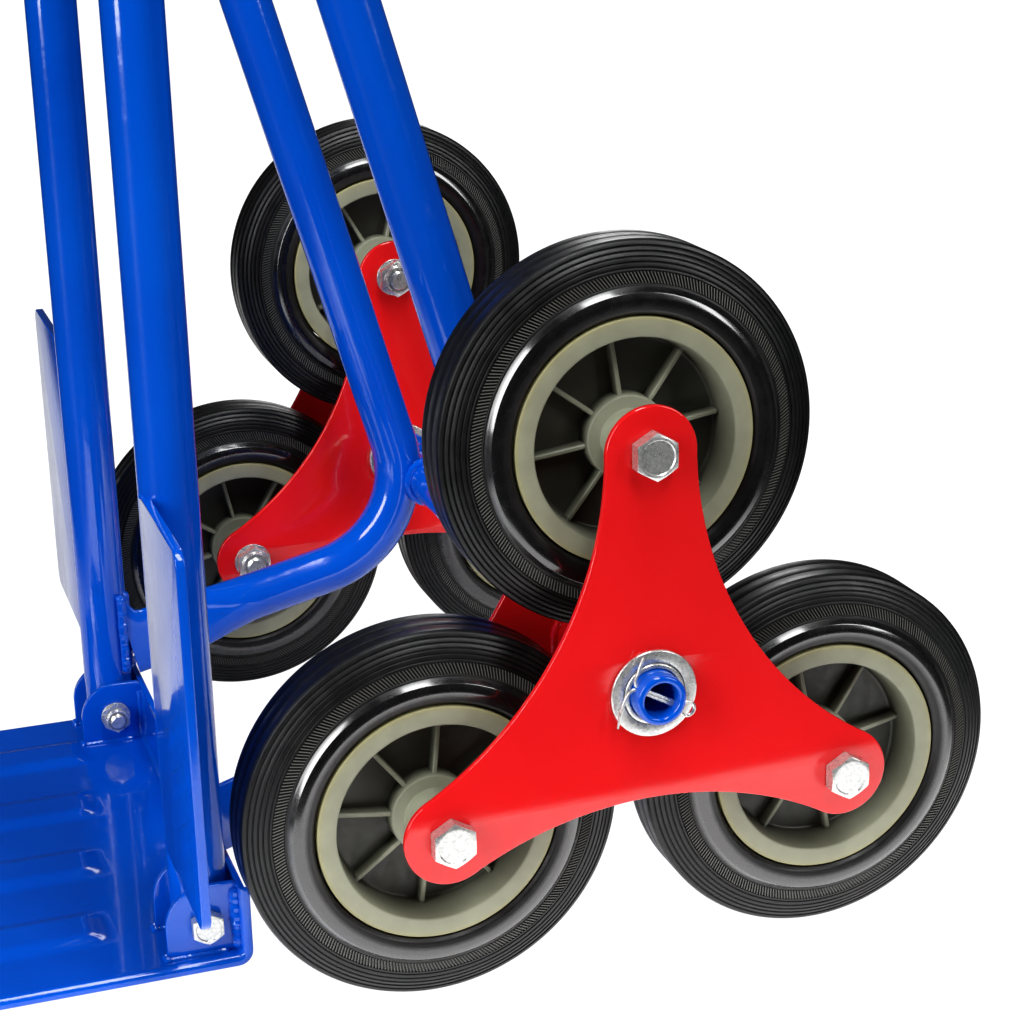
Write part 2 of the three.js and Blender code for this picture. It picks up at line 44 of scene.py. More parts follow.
MM = 0.001
SIDES = (("right", 1), ("left", -1))
PLACES = (("top", 90), ("front", 210), ("rear", 330))

axle_y = 105.249
axle_z = 130.0
upright_x = 120.5
upright_y = axle_y - 173.0
tube_r = 12.4
tube_wall = 1.8
strut_x = 108.0
hinge_z = 19.3

wheel_x = 181.8
bolt_circle = 100.0
plate_gap = 31.8
plate_thick = 3.0
outer_plate_x = wheel_x + plate_gap
inner_plate_x = wheel_x - plate_gap - plate_thick


# ----------------- meshes

class Body:
    """Points and faces in millimetres, collected before they become one Blender mesh."""

    def __init__(self):
        self.points = []
        self.faces = []
        self.smooth = []

    def add(self, points, faces, smooth=True):
        start = len(self.points)
        self.points += [Vector(p) for p in points]
        self.faces += [[start + i for i in face] for face in faces]
        self.smooth += [smooth] * len(faces)
        return self

    def join(self, other):
        start = len(self.points)
        self.points += other.points
        self.faces += [[start + i for i in face] for face in other.faces]
        self.smooth += other.smooth
        return self

    def skin(self, loops, along=False, caps=False):
        """Joins closed loops of equal length, one after the other."""
        n = len(loops[0])
        points = [p for loop in loops for p in loop]
        faces = []
        pairs = len(loops) if along else len(loops) - 1
        for i in range(pairs):
            a, b = i * n, (i + 1) % len(loops) * n
            faces += [[a + j, a + (j + 1) % n, b + (j + 1) % n, b + j] for j in range(n)]
        self.add(points, faces)
        if caps:
            start = len(self.points) - len(points)
            last = start + (len(loops) - 1) * n
            self.faces += [[start + j for j in range(n)][::-1], [last + j for j in range(n)]]
            self.smooth += [False, False]
        return self

    def moved(self, x=0, y=0, z=0):
        self.points = [p + Vector((x, y, z)) for p in self.points]
        return self

    def turned(self, angle):
        """Turns it about the X axis."""
        turn = Matrix.Rotation(angle, 3, "X")
        self.points = [turn @ p for p in self.points]
        return self

    def mirrored(self):
        copy = Body()
        copy.points = [Vector((-p.x, p.y, p.z)) for p in self.points]
        copy.faces = [face[::-1] for face in self.faces]
        copy.smooth = list(self.smooth)
        return copy

    def for_side(self, sign):
        return self if sign > 0 else self.mirrored()

    def mesh(self, name, sharp=32):
        mesh = bpy.data.meshes.new(name)
        mesh.from_pydata([p * MM for p in self.points], [], self.faces)
        mesh.polygons.foreach_set("use_smooth", self.smooth)
        work = bmesh.new()
        work.from_mesh(mesh)
        bmesh.ops.recalc_face_normals(work, faces=work.faces)
        work.to_mesh(mesh)
        work.free()
        mesh.set_sharp_from_angle(angle=math.radians(sharp))
        return mesh


def show(name, mesh, material, body, replaces=(), place=None):
    """Puts a mesh in the scene as a piece that moves with a body."""
    if isinstance(mesh, Body):
        mesh = mesh.mesh(name)
    piece = bpy.data.objects.new(name, mesh)
    bpy.context.scene.collection.objects.link(piece)
    if not mesh.materials:
        mesh.materials.append(material)
    if place:
        piece.location = Vector(place) * MM
    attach(piece, body)
    if replaces:
        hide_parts(*replaces)
    return piece


def ring(radius, sides, x):
    angles = [2 * math.pi * i / sides for i in range(sides)]
    return [Vector((x, radius * math.cos(a), radius * math.sin(a))) for a in angles]


def rounded(points, closed=False, steps=3):
    """Rounds the corners of a 2D line. Each point is (u, v) or (u, v, radius)."""
    out = []
    n = len(points)
    for i, point in enumerate(points):
        here = Vector(point[:2])
        radius = point[2] if len(point) > 2 else 0
        if radius <= 0 or (not closed and i in (0, n - 1)):
            out.append(here)
            continue
        before = Vector(points[i - 1][:2]) - here
        after = Vector(points[(i + 1) % n][:2]) - here
        half = before.angle(after) / 2
        setback = min(radius / math.tan(half), 0.45 * before.length, 0.45 * after.length)
        radius = setback * math.tan(half)
        start = here + before.normalized() * setback
        end = here + after.normalized() * setback
        centre = here + (before.normalized() + after.normalized()).normalized() * (radius / math.sin(half))
        sweep = (start - centre).angle_signed(end - centre)
        for k in range(steps + 1):
            arm = (start - centre).copy()
            arm.rotate(Matrix.Rotation(-sweep * k / steps, 2))
            out.append(centre + arm)
    return out


def lathe(profile, sides, closed=True, caps=False, steps=3):
    """Turns a profile of (x, radius) or (x, radius, corner radius) about the X axis."""
    line = rounded(profile, closed, steps)
    return Body().skin([ring(p[1], sides, p[0]) for p in line], along=closed, caps=caps)


def tube_lathe(x0, x1, outer, inner, sides, edge=0.5):
    return lathe([(x0, outer, edge), (x1, outer, edge), (x1, inner, edge), (x0, inner, edge)], sides)


def inset(loop, depth):
    """Moves each point of a loop, given anticlockwise, to its inside by a depth."""
    out = []
    n = len(loop)
    for i, point in enumerate(loop):
        a = (point - loop[i - 1]).normalized()
        b = (loop[(i + 1) % n] - point).normalized()
        normal = Vector((-a.y - b.y, a.x + b.x))
        normal.normalize()
        stretch = 1 / max(0.5, math.sqrt(max(0.0, (1 + a.dot(b)) / 2)))
        out.append(point + normal * depth * stretch)
    return out


def plate(outline, holes, x0, x1, edge):
    """A flat plate across X with rounded edges. The outline runs anticlockwise and the holes clockwise."""
    body = Body()
    steps = 3
    loops = [[Vector(p[:2]) for p in loop] for loop in [outline] + holes]
    levels = [math.radians(90 * k / steps) for k in range(steps + 1)]
    rounds = [(x0 + edge * (1 - math.cos(a)), edge * (1 - math.sin(a))) for a in levels]
    rounds += [(x1 - edge * (1 - math.cos(a)), edge * (1 - math.sin(a))) for a in reversed(levels)]
    for loop in loops:
        body.skin([[Vector((x, p.x, p.y)) for p in inset(loop, d)] for x, d in rounds])
    for x, flip in ((x0, True), (x1, False)):
        face = [[Vector((p.x, p.y, 0)) for p in inset(loop, edge)] for loop in loops]
        triangles = tessellate_polygon(face)
        flat = [Vector((x, p.x, p.y)) for loop in face for p in loop]
        body.add(flat, [t[::-1] if flip else t for t in triangles], smooth=False)
    welded = Body()
    index = {}
    link = []
    for p in body.points:
        key = (round(p.x, 4), round(p.y, 4), round(p.z, 4))
        if key not in index:
            index[key] = len(welded.points)
            welded.points.append(p)
        link.append(index[key])
    welded.faces = [[link[i] for i in face] for face in body.faces]
    welded.smooth = body.smooth
    return welded


def arc(centre, radius, start, end, steps):
    angles = [start + (end - start) * k / steps for k in range(steps + 1)]
    return [Vector((centre[0] + radius * math.cos(a), centre[1] + radius * math.sin(a))) for a in angles]


def round_hole(centre, radius, sides=32):
    return arc(centre, radius, 2 * math.pi, 2 * math.pi / sides, sides - 1)


def bent_path(corners, bend, step=6.0, arc_steps=18):
    """Stations (point, tangent) in the YZ plane along corners joined by round bends."""
    stations = []
    corners = [Vector(c) for c in corners]
    start = corners[0]
    for i in range(1, len(corners)):
        arriving = (corners[i] - corners[i - 1]).normalized()
        if i == len(corners) - 1:
            stop, turn = corners[i], 0
        else:
            leaving = (corners[i + 1] - corners[i]).normalized()
            turn = arriving.angle(leaving)
            stop = corners[i] - arriving * bend * math.tan(turn / 2)
        count = max(1, int((stop - start).length / step))
        stations += [(start.lerp(stop, k / count), arriving) for k in range(count + 1)]
        if turn:
            inward = (leaving - arriving * leaving.dot(arriving)).normalized()
            for k in range(1, arc_steps):
                a = turn * k / arc_steps
                point = stop + arriving * bend * math.sin(a) + inward * bend * (1 - math.cos(a))
                stations.append((point, (arriving * math.cos(a) + inward * math.sin(a)).normalized()))
            start = corners[i] + leaving * bend * math.tan(turn / 2)
    return stations


def swept(stations, section):
    """Sweeps a section in a plane across the path. section(point) gives (across, up) pairs."""
    loops = []
    side = Vector((1, 0, 0))
    for point, tangent in stations:
        up = side.cross(tangent)
        loops.append([point + side * u + up * v for u, v in section(point)])
    return Body().skin(loops, caps=True)


def circle(radius, sides=40):
    return [(radius * math.cos(2 * math.pi * k / sides), radius * math.sin(2 * math.pi * k / sides))
            for k in range(sides)]


def hollow_tube(stations, outer, inner, sides=40):
    there = [(p, t, outer) for p, t in stations]
    back = [(p, t, inner) for p, t in reversed(stations)]
    first, last = stations[0], stations[-1]
    lip = 0.5
    there = [(first[0], first[1], outer - lip)] + there + [(last[0], last[1], outer - lip)]
    side = Vector((1, 0, 0))
    loops = []
    for k, (point, tangent, radius) in enumerate(there + back):
        up = side.cross(tangent)
        if k == 1:
            point = point + tangent * lip
        if k == len(there) - 2:
            point = point - tangent * lip
        loops.append([point + side * u + up * v for u, v in circle(radius, sides)])
    return Body().skin(loops, along=True)


def weld(points, radius, seed, closed=False, rough=1.0):
    """A hand-laid weld bead along a line: overlapping ripples of uneven size, with round ends."""
    chance = random.Random(seed)
    line = []
    for i in range(len(points) - (0 if closed else 1)):
        a, b = Vector(points[i]), Vector(points[(i + 1) % len(points)])
        count = max(1, round((b - a).length / 0.8))
        line += [a.lerp(b, k / count) for k in range(count)]
    if not closed:
        line.append(Vector(points[-1]))
    n = len(line)
    phase = chance.random() * 6
    lumps = [chance.uniform(-1, 1) for _ in range(n // 6 + 3)]
    loops = []
    for i, point in enumerate(line):
        ahead = line[(i + 1) % n] if closed or i < n - 1 else point
        behind = line[i - 1] if closed or i > 0 else point
        tangent = (ahead - behind).normalized()
        side = tangent.orthogonal().normalized()
        if abs(tangent.x) < 0.95:
            side = (Vector((1, 0, 0)) - tangent * tangent.x).normalized()
        up = tangent.cross(side)
        swell = 1 + 0.05 * rough * math.sin(i * 0.8 * 2 * math.pi / 2.9 + phase)
        f = i / 6
        swell += 0.12 * rough * (lumps[int(f)] * (1 - f % 1) + lumps[int(f) + 1] * (f % 1))
        if not closed:
            end = min(i, n - 1 - i) * 0.8
            if end < radius:
                swell *= math.sqrt(max(0.02, 1 - (1 - end / radius) ** 2))
        wobble = 0.06 * math.sin(i * 1.7 + phase)
        loops.append([point + side * (u * swell + wobble * radius) + up * v * swell
                      for u, v in circle(radius, 10)])
    return Body().skin(loops, along=closed, caps=not closed)


# ----------------- materials

def srgb(r, g, b):
    def linear(c):
        c /= 255
        return c / 12.92 if c <= 0.04045 else ((c + 0.055) / 1.055) ** 2.4
    return (linear(r), linear(g), linear(b), 1.0)


class Shader:
    """A node material around one Principled shader."""

    def __init__(self, name):
        self.material = bpy.data.materials.new(name)
        self.material.use_nodes = True
        self.tree = self.material.node_tree
        self.main = self.tree.nodes["Principled BSDF"]
        self.place = self.node("ShaderNodeTexCoord").outputs["Object"]

    def node(self, kind, **settings):
        made = self.tree.nodes.new(kind)
        for key, value in settings.items():
            setattr(made, key, value)
        return made

    def set(self, **values):
        for key, value in values.items():
            self.main.inputs[key.replace("_", " ")].default_value = value

    def link(self, a, b):
        self.tree.links.new(a, b)

    def noise(self, scale, detail=3.0, roughness=0.5):
        made = self.node("ShaderNodeTexNoise")
        made.inputs["Scale"].default_value = scale
        made.inputs["Detail"].default_value = detail
        made.inputs["Roughness"].default_value = roughness
        self.link(self.place, made.inputs["Vector"])
        return made.outputs["Fac"]

    def ramp(self, value, low, high, start=0.35, end=0.65):
        made = self.node("ShaderNodeMapRange")
        for key, number in (("From Min", start), ("From Max", end), ("To Min", low), ("To Max", high)):
            made.inputs[key].default_value = number
        self.link(value, made.inputs["Value"])
        return made.outputs["Result"]

    def math(self, operation, a, b):
        """An arithmetic node on two values, each an output or a number."""
        made = self.node("ShaderNodeMath", operation=operation)
        for slot, value in zip(made.inputs, (a, b)):
            if isinstance(value, (int, float)):
                slot.default_value = value
            else:
                self.link(value, slot)
        return made.outputs["Value"]

    def wheel_place(self):
        """Distance from the wheel's middle plane, and radius about its axle."""
        parts = self.node("ShaderNodeSeparateXYZ")
        self.link(self.place, parts.inputs["Vector"])
        y, z = parts.outputs["Y"], parts.outputs["Z"]
        square = self.math("ADD", self.math("MULTIPLY", y, y), self.math("MULTIPLY", z, z))
        return self.math("ABSOLUTE", parts.outputs["X"], 0), self.math("SQRT", square, 0)

    def colours(self, value, stops):
        made = self.node("ShaderNodeValToRGB")
        line = made.color_ramp
        line.elements[0].position, line.elements[0].color = stops[0]
        line.elements[1].position, line.elements[1].color = stops[-1]
        for position, colour in stops[1:-1]:
            line.elements.new(position).color = colour
        self.link(value, made.inputs["Fac"])
        return made.outputs["Color"]

    def bump(self, height, strength, distance, after=None):
        made = self.node("ShaderNodeBump")
        made.inputs["Strength"].default_value = strength
        made.inputs["Distance"].default_value = distance
        self.link(height, made.inputs["Height"])
        if after:
            self.link(after, made.inputs["Normal"])
        return made.outputs["Normal"]


def paint(name, light, dark, rough, warp):
    """Powder coat: a hard gloss with fine orange peel, slightly uneven in colour."""
    s = Shader(name)
    cloud = s.noise(14.0, 4.0)
    s.link(s.colours(cloud, [(0.3, dark), (0.7, light)]), s.main.inputs["Base Color"])
    s.link(s.ramp(s.noise(60.0, 5.0), *rough), s.main.inputs["Roughness"])
    peel = s.bump(s.noise(420.0, 2.0), 0.1, 0.0004)
    s.link(s.bump(s.noise(*warp), 0.1, 0.002, peel), s.main.inputs["Normal"])
    s.set(Coat_Weight=0.5, Coat_Roughness=0.03, IOR=1.42)
    return s.material


blue = paint("blue_powder_coat", srgb(0, 88, 202), srgb(0, 80, 192), (0.09, 0.15), (70.0, 2.0))
red = paint("red_powder_coat", srgb(222, 31, 34), srgb(214, 26, 30), (0.09, 0.15), (30.0, 3.0))


def metal(name):
    s = Shader(name)
    stain = s.noise(650.0, 6.0, roughness=0.7)
    greys = [(0.36, srgb(184, 186, 185)), (0.5, srgb(207, 208, 206)), (0.64, srgb(224, 224, 220))]
    s.link(s.colours(stain, greys), s.main.inputs["Base Color"])
    s.link(s.ramp(s.noise(300.0, 5.0), 0.24, 0.36), s.main.inputs["Roughness"])
    s.link(s.bump(s.noise(900.0, 3.0), 0.05, 0.0002), s.main.inputs["Normal"])
    s.set(Metallic=0.75)
    return s.material


zinc = metal("zinc_plated_steel")


def rubber(name, light, dark, rough, knurled=False):
    s = Shader(name)
    dust = s.noise(40.0, 6.0, roughness=0.65)
    tone = s.colours(dust, [(0.35, dark), (0.75, light)])
    if knurled:
        out, radius = s.wheel_place()
        # Painted highlight: the tops of the slanting ridges in the knurled band are coloured light grey, as
        # if catching the light.
        painted_ridge_highlight = s.ramp(s.math("ADD", out, s.math("MULTIPLY", radius, 0.245)), 0, 1, 0.0316, 0.0319)
        band = s.math("MULTIPLY", s.ramp(radius, 0, 1, 0.0631, 0.0634), s.ramp(radius, 1, 0, 0.0681, 0.0683))
        mix = s.node("ShaderNodeMix", data_type="RGBA")
        s.link(s.math("MULTIPLY", painted_ridge_highlight, band), mix.inputs["Factor"])
        s.link(tone, mix.inputs["A"])
        mix.inputs["B"].default_value = srgb(96, 96, 92)
        tone = mix.outputs["Result"]
        s.set(IOR=1.5, Coat_Roughness=0.12, Coat_IOR=1.7)
        bulge = s.math("MULTIPLY", s.ramp(radius, 0, 1, 0.0545, 0.0565), s.ramp(radius, 1, 0, 0.0612, 0.0626))
        s.link(bulge, s.main.inputs["Coat Weight"])
        worn = s.math("SUBTRACT", s.ramp(s.noise(170.0, 4.0), *rough), s.math("MULTIPLY", bulge, 0.14))
        s.link(worn, s.main.inputs["Roughness"])
    else:
        s.set(IOR=1.5)
        s.link(s.ramp(s.noise(170.0, 4.0), *rough), s.main.inputs["Roughness"])
    s.link(tone, s.main.inputs["Base Color"])
    s.link(s.bump(s.noise(1900.0, 2.0), 0.1, 0.0002), s.main.inputs["Normal"])
    return s.material


tyre_rubber = rubber("moulded_tyre_rubber", srgb(21, 21, 23), srgb(11, 11, 12), (0.34, 0.44), True)
grip_rubber = rubber("grip_rubber", srgb(34, 34, 36), srgb(20, 20, 21), (0.5, 0.65))


def plastic(name):
    """Grey-green moulded plastic, warmer towards the wheel's rim, with painted shade that darkens the recess
    the deeper it lies.
    """
    s = Shader(name)
    out, radius = s.wheel_place()
    tone = s.colours(s.ramp(radius, 0.0, 1.0, 0.0, 0.051),
                     [(0.0, srgb(142, 145, 126)), (0.8, srgb(142, 144, 126)), (0.955, srgb(146, 146, 124)),
                      (1.0, srgb(158, 152, 108))])
    # Painted shade: the web, the lower parts of the ribs and the rim's inner wall get darker the deeper they
    # lie in the recess.
    ribs = s.ramp(out, 0.14, 1.0, 0.0015, 0.0074)
    wall = s.math("MAXIMUM", s.ramp(out, 0.16, 1.0, 0.002, 0.0183), s.ramp(radius, 1.0, 0.0, 0.0398, 0.0404))
    painted_recess_shade = s.node("ShaderNodeMix", data_type="RGBA", blend_type="MULTIPLY")
    painted_recess_shade.inputs["Factor"].default_value = 1.0
    s.link(tone, painted_recess_shade.inputs["A"])
    s.link(s.math("MINIMUM", ribs, wall), painted_recess_shade.inputs["B"])
    mix = s.node("ShaderNodeMix", data_type="RGBA", blend_type="MULTIPLY")
    mix.inputs["Factor"].default_value = 1.0
    s.link(painted_recess_shade.outputs["Result"], mix.inputs["A"])
    mottle = s.colours(s.noise(110.0, 5.0), [(0.3, (0.9, 0.9, 0.9, 1)), (0.7, (1.03, 1.03, 1.03, 1))])
    s.link(mottle, mix.inputs["B"])
    s.link(mix.outputs["Result"], s.main.inputs["Base Color"])
    s.link(s.ramp(s.noise(240.0, 3.0), 0.34, 0.48), s.main.inputs["Roughness"])
    s.link(s.bump(s.noise(1300.0, 3.0), 0.1, 0.0002), s.main.inputs["Normal"])
    return s.material


hub_plastic = plastic("hub_plastic")

# ----------------- uprights and grips

handle_tilt = math.radians(60)
handle_bend = 80.0
handle_run = 150.0
grip_r = 16.5
grip_wall = 3.7
foot_z = hinge_z - 5
handle_dir = Vector((0, math.sin(handle_tilt), math.cos(handle_tilt)))
handle_setback = handle_bend * math.tan(handle_tilt / 2)
handle_top = grip_r * math.sin(handle_tilt) + grip_wall * math.cos(handle_tilt)
corner_z = 1100 - handle_top - (handle_setback + handle_run) * math.cos(handle_tilt)
handle_corner = Vector((upright_x, upright_y, corner_z))
handle_end = handle_corner + handle_dir * (handle_setback + handle_run)

upright_path = bent_path([(upright_x, upright_y, foot_z), handle_corner, handle_end], handle_bend, 40.0)
upright = hollow_tube(upright_path, tube_r, tube_r - tube_wall, 56)


def grip():
    """A push-on rubber grip: a ribbed sleeve with a flange and a closed, domed end."""
    length = 118.0
    line = [(0.0, 13.2, 0), (-length, 12.9, 0.6), (-length, 21, 1.8), (-length + 5, 21, 1.8),
            (-length + 9, 16.2, 2)]
    for k in range(17):
        x = -length + 16 + k * 5.4
        line += [(x, 16.0, 0.5), (x + 0.9, 15.2, 0.4), (x + 2.0, 15.2, 0.4), (x + 2.9, 16.0, 0.5)]
    line += [(1.0, 16.3, 2.0), (3.7, 12.0, 3.0), (3.7, 1.0, 0), (0.3, 1.0, 0), (0.3, 12.9, 0)]
    body = lathe(line, 48, closed=True, steps=2)
    turn = Vector((1, 0, 0)).rotation_difference(handle_dir).to_matrix()
    body.points = [turn @ p + handle_end for p in body.points]
    return body


hand_grip = grip()

for side, sign in SIDES:
    show(f"{side}_upright_tube", upright.for_side(sign), blue, "frame", [f"{side}_upright"])
    show(f"{side}_rubber_grip", hand_grip.for_side(sign), grip_rubber, "frame",
         [f"{side}_hand_grip"])

# ----------------- rear struts

strut_corner = Vector((strut_x, axle_y + 0.3, 96.1))
strut_lean = 0.282
strut_top_z = 664
flat_x = strut_x + 2.5
# for each side: fall of the lower leg, top and bottom of the flat, height of the weld that tops it
strut_feet = {"right": (0.3, 69, 38.7, 5), "left": (0.2297, 72, 38.7, 12)}


def ease(value, start, end):
    t = min(1.0, max(0.0, (value - start) / (end - start)))
    return t * t * (3 - 2 * t)


def strut_body(fall, flat_top, flat_bottom, fillet):
    """Round tube down to the axle, bent forward under it, pressed flat where it meets the upright."""
    top = Vector((strut_x, strut_corner.y - strut_lean * (strut_top_z - strut_corner.z), strut_top_z))
    reach = upright_y + tube_r - 1.5
    foot = Vector((strut_x, reach, strut_corner.z - fall * (strut_corner.y - reach)))
    stations = bent_path([top, strut_corner, foot], 54.0, 2.5, 24)
    sink = foot.z - (flat_top + flat_bottom) / 2
    flat_half = (flat_top - flat_bottom) / 2

    def section(point):
        press = ease(point.y, axle_y - 92, axle_y - 142) if point.z < 92 else 0
        corner = ease(point.y, reach + 9, reach + 0.5) if point.z < 92 else 0
        half_x = tube_r + (2.7 - tube_r) * press
        shape = []
        for k in range(48):
            a = 2 * math.pi * k / 48
            c, s = math.cos(a), math.sin(a)
            u = math.copysign(abs(c) ** (1 - 0.45 * press), c) * half_x + 2.5 * press
            half_v = tube_r + (flat_half - tube_r) * press + (fillet * corner if s < 0 else 0)
            v = math.copysign(abs(s) ** (1 - 0.2 * press), s) * half_v + sink * press
            shape.append((u, v))
        return shape
    return swept(stations, section)


def ring_weld(centre, radius, bead, seed):
    """A weld bead all the way round a tube that lies along X."""
    points = [Vector(centre) + spoke for spoke in ring(radius, 36, 0)]
    return weld(points, bead, seed, True)


def strut_welds(seed, top, bottom):
    """Beads at the pressed foot, round the axle and up the joint with the upright."""
    beads = Body()
    for k, (x, y) in enumerate(((flat_x - 2.0, upright_y + 8.2), (flat_x + 4.2, upright_y + 10.8))):
        drop = (bottom + 2 - top) / 20
        line = [(x + 0.25 * math.sin(2.1 * i), y, top + drop * i) for i in range(21)]
        beads.join(weld(line, 2.5, seed + k, rough=0.8))
    for k, dx in enumerate((-tube_r - 0.6, tube_r + 0.6)):
        centre = (strut_x + dx, axle_y, axle_z)
        beads.join(ring_weld(centre, 11.3, 2.2, seed + 5 + k))
    for k in range(2):
        points = []
        for i in range(26):
            z = strut_top_z + 3 - 3.4 * i
            y = strut_corner.y - strut_lean * (z - strut_corner.z)
            gap = math.hypot(y - upright_y, upright_x - strut_x)
            if gap > 2 * tube_r:
                break
            half = math.sqrt(tube_r ** 2 - gap ** 2 / 4)
            mid = Vector(((strut_x + upright_x) / 2, (y + upright_y) / 2))
            away = Vector((upright_x - strut_x, upright_y - y)).normalized()
            across = Vector((-away.y, away.x)) * (half if k else -half)
            points.append((mid.x + across.x, mid.y + across.y, z))
        beads.join(weld(points, 2.0, seed + 10 + k))
    return beads


for side, sign in SIDES:
    fall, flat_top, flat_bottom, fillet = strut_feet[side]
    strut = strut_body(fall, flat_top, flat_bottom, fillet)
    beads = strut_welds(20 + sign, flat_top + fillet, flat_bottom)
    show(f"{side}_strut_tube", strut.for_side(sign), blue, "frame", [f"{side}_rear_strut"])
    show(f"{side}_strut_weld_beads", beads.for_side(sign), blue, "frame")

# ----------------- cross bars

bar_r = 9.5
bar_bow = 22.0


def cross_bar():
    """A round bar bowed to the rear between the uprights."""
    arc_radius = (upright_x ** 2 + bar_bow ** 2) / (2 * bar_bow)
    half = math.asin((upright_x - 4) / arc_radius)
    loops = []
    for k in range(41):
        a = half * (k / 20 - 1)
        centre = Vector((arc_radius * math.sin(a), upright_y + bar_bow - arc_radius * (1 - math.cos(a)), 0))
        out = Vector((math.sin(a), math.cos(a), 0))
        loops.append([centre + out * u + Vector((0, 0, v)) for u, v in circle(bar_r, 32)])
    return Body().skin(loops, caps=True)


for name, z in (("lower", 480), ("middle", 700), ("upper", 900)):
    show(f"{name}_bowed_bar", cross_bar().moved(z=z), blue, "frame", [f"{name}_cross_bar"])
    beads = Body()
    for sign in (1, -1):
        points = []
        for k in range(28):
            a = 2 * math.pi * k / 28
            v, u = (bar_r + 0.5) * math.sin(a), (bar_r + 0.5) * math.cos(a)
            y = 5.0 + u
            x = upright_x - math.sqrt(max(1.0, (tube_r + 0.4) ** 2 - y ** 2))
            points.append(Vector((sign * x, upright_y + y, z + v)))
        beads.join(weld(points, 1.8, z + sign, closed=True))
    show(f"{name}_bar_weld_beads", beads, blue, "frame")

# ----------------- guard blades

blade_thick = 4.0
blade_spans = {"right": (49.0, 208.5), "left": (64.0, 220.0)}
blade_outer = 201.0
blade_front = upright_y - tube_r


def blade_body(bottom, top):
    """A flat steel blade with rounded outer corners, laid across the front of the upright."""
    inner = upright_x + 1.5
    corners = [(inner, bottom), (blade_outer, bottom, 7), (blade_outer, top, 7), (inner, top)]
    outline = rounded(corners, True, 6)
    flat = plate(outline, [], 0, blade_thick, 0.7)
    flat.points = [Vector((p.y, blade_front + blade_thick - p.x, p.z)) for p in flat.points]
    return flat


def blade_welds(bottom, top, seed):
    """A bead down the blade's back, and one at each of its ends."""
    behind = math.sqrt(tube_r ** 2 - (tube_r - blade_thick) ** 2)
    back_x = upright_x + behind + 1.4
    back_y = blade_front + blade_thick + 0.5
    beads = weld([(back_x, back_y, bottom + 4 + 6 * i) for i in range(25)], 2.2, seed + 1)
    lump = [(upright_x + 1.5 + 1.2 * i, blade_front + 1.8 + 0.25 * i, top - 0.4) for i in range(5)]
    beads.join(weld(lump, 2.2, seed + 2, rough=2))
    foot = [(x, y, bottom - 0.2) for x, y, z in lump]
    beads.join(weld(foot, 2.1, seed + 3))
    return beads


for side, sign in SIDES:
    bottom, top = blade_spans[side]
    blade = blade_body(bottom, top).for_side(sign)
    show(f"{side}_blade", blade, blue, "frame", [f"{side}_guard_blade"])
    beads = blade_welds(bottom, top, 50 + sign).for_side(sign)
    show(f"{side}_blade_weld_beads", beads, blue, "frame")

# ----------------- axle, washers and split pins

axle_r = 10.65
axle_bore = 7.4
axle_end = 227.0
pin_x = 221.9
pin_tilt = math.radians(29)


def axle_body():
    """A tube with a welded stop collar inside each cluster."""
    tube = lathe([(-axle_end, axle_r, 1.7), (axle_end, axle_r, 1.7), (axle_end, axle_bore, 1.3),
                  (-axle_end, axle_bore, 1.3)], 64, steps=5)
    for sign in (1, -1):
        collar = tube_lathe(139.2, 143.2, 15, axle_r - 0.2, 64, 0.6)
        tube.join(collar.for_side(sign))
        tube.join(ring_weld((137.9, 0, 0), 11.6, 1.9, 90 + sign).for_side(sign))
    return tube.moved(y=axle_y, z=axle_z)


def wire(points, radius):
    """A round wire along points, with rounded ends."""
    points = [Vector(p) for p in points]
    loops = []
    last = len(points) - 1
    for i, point in enumerate(points):
        tangent = (points[min(i + 1, last)] - points[max(i - 1, 0)]).normalized()
        side = (Vector((1, 0, 0)) - tangent * tangent.x).normalized()
        up = tangent.cross(side)
        thin = 0.55 if i in (0, last) else 1.0
        loops.append([point + (side * u + up * v) * thin for u, v in circle(radius, 14)])
    return Body().skin(loops, caps=True)


def split_pin():
    """One wire folded double: an eye, two legs side by side through the axle, and their ends bent apart."""
    eye = 3.0
    neck = axle_r + 0.7
    leg = 0.72
    out = -axle_r - 0.6
    upper = ((-2.7, 12.6), (-2.3, 9.2), (-1.7, 5.8), (-1.3, 2.8), (-0.3, 1.1), (1.2, leg))
    line = [Vector((0, out + y, z)) for y, z in upper]
    run = neck - out - 1.2
    line += [Vector((0, out + 1.2 + run * k / 6, leg)) for k in range(1, 7)]
    for k in range(15):
        a = math.radians(155 - 310 * k / 14)
        line.append(Vector((0, neck + 3.3 - eye * math.cos(math.pi - a), eye * math.sin(a))))
    line += [Vector((0, neck - run * k / 6, -leg)) for k in range(7)]
    lower = ((-0.3, -1.1), (-1.2, -2.6), (-1.5, -5.2), (-1.1, -8.6), (-0.2, -13.0), (1.4, -18.0))
    line += [Vector((0, out + y, z)) for y, z in lower]
    return wire(line, 0.74).turned(-pin_tilt).moved(x=pin_x, y=axle_y, z=axle_z)


show("axle_tube", axle_body(), blue, "frame", ["axle"])
washer = lathe([(216.9, 18.5, 0.5), (218.4, 18.5, 0.7), (218.4, 13.3, 0.4), (216.9, 13.3, 0.4)], 64)
washer.moved(y=axle_y, z=axle_z)
pin = split_pin()
for side, sign in SIDES:
    show(f"{side}_flat_washer", washer.for_side(sign), zinc, "frame", [f"{side}_axle_washer"])
    show(f"{side}_cotter_pin", pin.for_side(sign), zinc, "frame", [f"{side}_split_pin"])

# ----------------- bolts and nuts

# thread radius and width across flats
M8 = (4, 13)
M10 = (5, 17)


